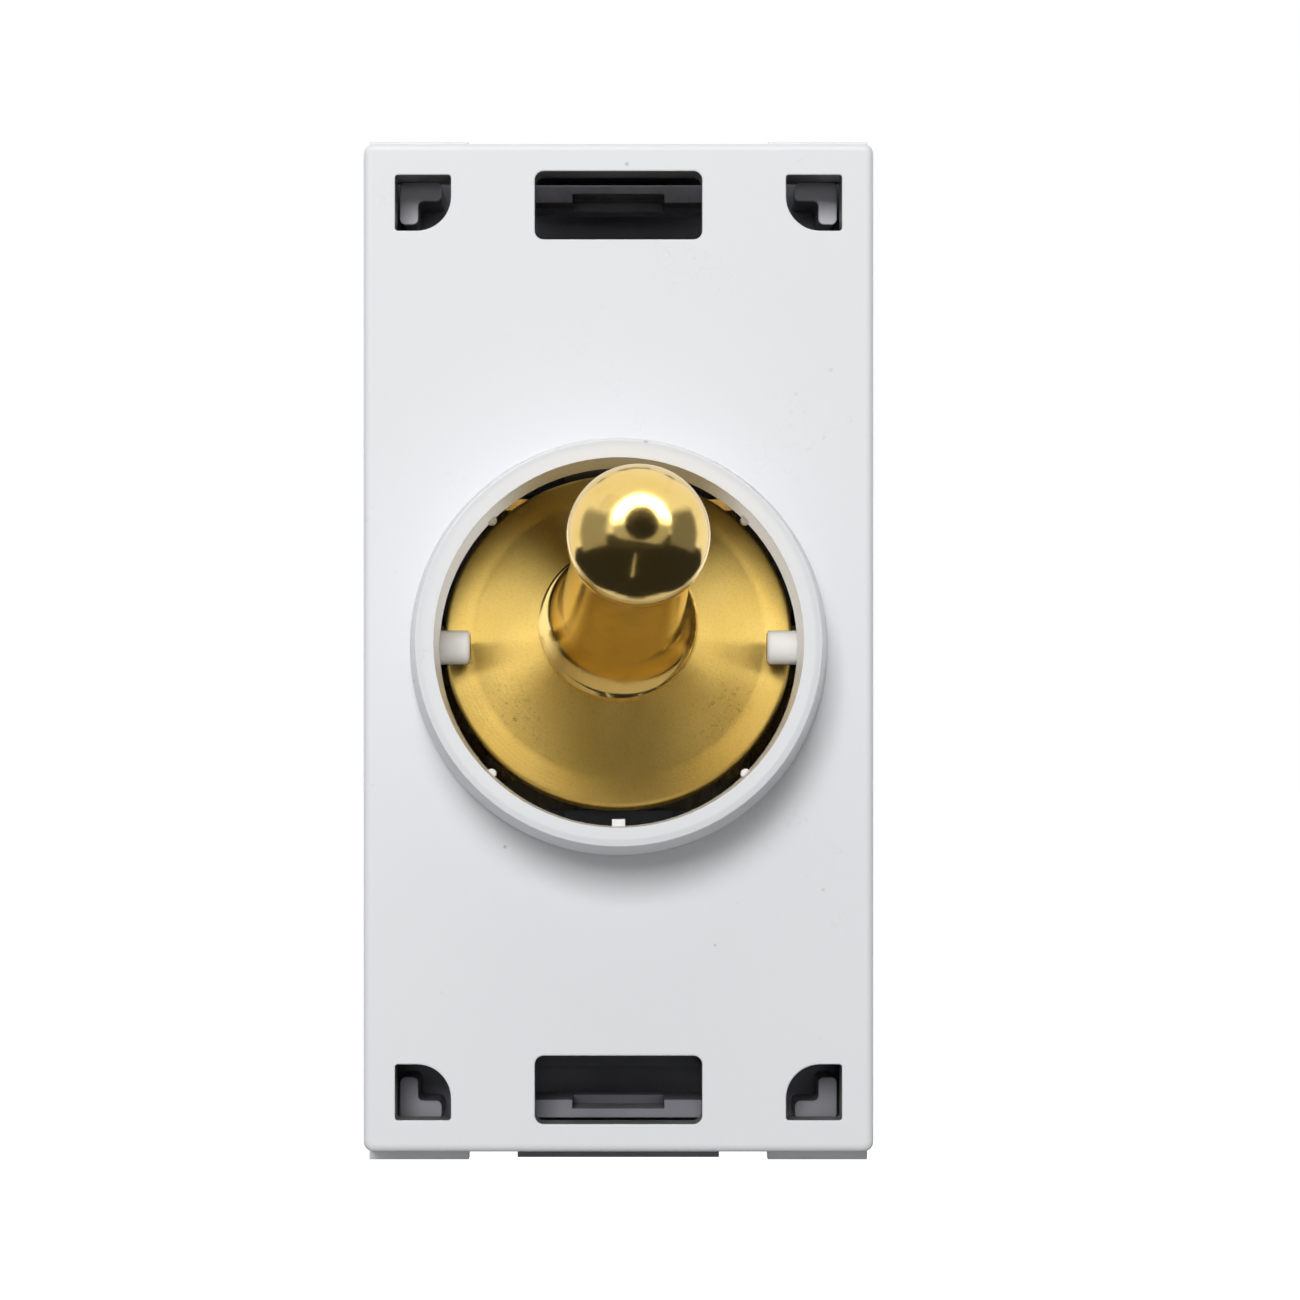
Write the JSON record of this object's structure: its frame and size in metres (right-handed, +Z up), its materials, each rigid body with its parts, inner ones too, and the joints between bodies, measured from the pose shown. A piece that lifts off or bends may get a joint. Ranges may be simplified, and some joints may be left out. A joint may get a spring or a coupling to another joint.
{
  "type": "intermediate light switch",
  "caption": "Modular switch insert with a white face, a round collar and a brass ball-ended dolly that tilts to cross two circuits over, with screw terminals behind.",
  "frame": {"origin": "centre of the collar, in the plane of the front face", "axes": "+X to the right across the face, +Y into the wall, +Z up along the face's long side"},
  "size_m": [0.0252, 0.0414, 0.0516],
  "materials": {
    "white_plastic": "glossy moulded, cool white",
    "grey_plastic": "moulded, matt grey",
    "black_plastic": "moulded, matt black",
    "pale_board": "pressed insulating board",
    "natural_nylon": "natural nylon",
    "polished_brass": "turned and polished, with light tarnish",
    "strip_brass": "stamped strip, satin",
    "plated_brass": "machined, satin",
    "contact_silver": "silver alloy, satin",
    "spring_steel": "drawn wire, bright",
    "plated_steel": "zinc plated"
  },
  "bodies": {
    "base": {"front_plate": "white_plastic", "housing": "grey_plastic", "rear_cover": "grey_plastic", "cover_screws": "plated_steel", "barrier": "pale_board", "common_strap_left": "strip_brass", "common_strap_right": "strip_brass", "cross_strap_front": "strip_brass", "cross_strap_rear": "strip_brass", "fixed_contact_top_left": "contact_silver", "fixed_contact_top_right": "contact_silver", "fixed_contact_bottom_left": "contact_silver", "fixed_contact_bottom_right": "contact_silver", "terminal_block_top_left": "plated_brass", "terminal_block_top_right": "plated_brass", "terminal_block_bottom_left": "plated_brass", "terminal_block_bottom_right": "plated_brass"},
    "dolly": {"dolly": "polished_brass", "carrier": "black_plastic", "cross_pin": "plated_steel", "plunger_spring_left": "spring_steel", "plunger_spring_right": "spring_steel"},
    "plunger_left": {"plunger_left": "natural_nylon"},
    "rocker_left": {"rocker_left": "strip_brass", "rocker_contacts_left": "contact_silver"},
    "plunger_right": {"plunger_right": "natural_nylon"},
    "rocker_right": {"rocker_right": "strip_brass", "rocker_contacts_right": "contact_silver"},
    "terminal_screw_top_left": {"terminal_screw_top_left": "plated_steel"},
    "terminal_screw_top_right": {"terminal_screw_top_right": "plated_steel"},
    "terminal_screw_bottom_left": {"terminal_screw_bottom_left": "plated_steel"},
    "terminal_screw_bottom_right": {"terminal_screw_bottom_right": "plated_steel"}
  },
  "joints": [
    {"name": "dolly_tilt", "type": "hinge", "parent": "base", "child": "dolly", "pos_m": [0, 0.0035, 0], "axis": [1, 0, 0], "range_deg": [0, 30]},
    {"name": "plunger_left_slide", "type": "slide", "parent": "dolly", "child": "plunger_left", "axis": [0, -0.9659, 0.2588], "range_m": [0, 0.0008], "stiffness_N_per_m": 800, "springref_m": -0.0008, "deforming": ["plunger_spring_left"]},
    {"name": "rocker_left_tilt", "type": "hinge", "parent": "base", "child": "rocker_left", "pos_m": [-0.0048, 0.01, 0], "axis": [1, 0, 0], "range_deg": [-14, 0]},
    {"name": "plunger_right_slide", "type": "slide", "parent": "dolly", "child": "plunger_right", "axis": [0, -0.9659, 0.2588], "range_m": [0, 0.0008], "stiffness_N_per_m": 800, "springref_m": -0.0008, "deforming": ["plunger_spring_right"]},
    {"name": "rocker_right_tilt", "type": "hinge", "parent": "base", "child": "rocker_right", "pos_m": [0.0048, 0.01, 0], "axis": [1, 0, 0], "range_deg": [-14, 0]},
    {"name": "terminal_screw_top_left_travel", "type": "slide", "parent": "base", "child": "terminal_screw_top_left", "axis": [0, 0, -1], "range_m": [0, 0.0014]},
    {"name": "terminal_screw_top_right_travel", "type": "slide", "parent": "base", "child": "terminal_screw_top_right", "axis": [0, 0, -1], "range_m": [0, 0.0014]},
    {"name": "terminal_screw_bottom_left_travel", "type": "slide", "parent": "base", "child": "terminal_screw_bottom_left", "axis": [0, 0, 1], "range_m": [0, 0.0014]},
    {"name": "terminal_screw_bottom_right_travel", "type": "slide", "parent": "base", "child": "terminal_screw_bottom_right", "axis": [0, 0, 1], "range_m": [0, 0.0014]}
  ],
  "couplings": [
    {"joint": "rocker_left_tilt", "follows": "dolly_tilt", "ratio": -0.46666},
    {"joint": "rocker_right_tilt", "follows": "dolly_tilt", "ratio": -0.46666}
  ]
}
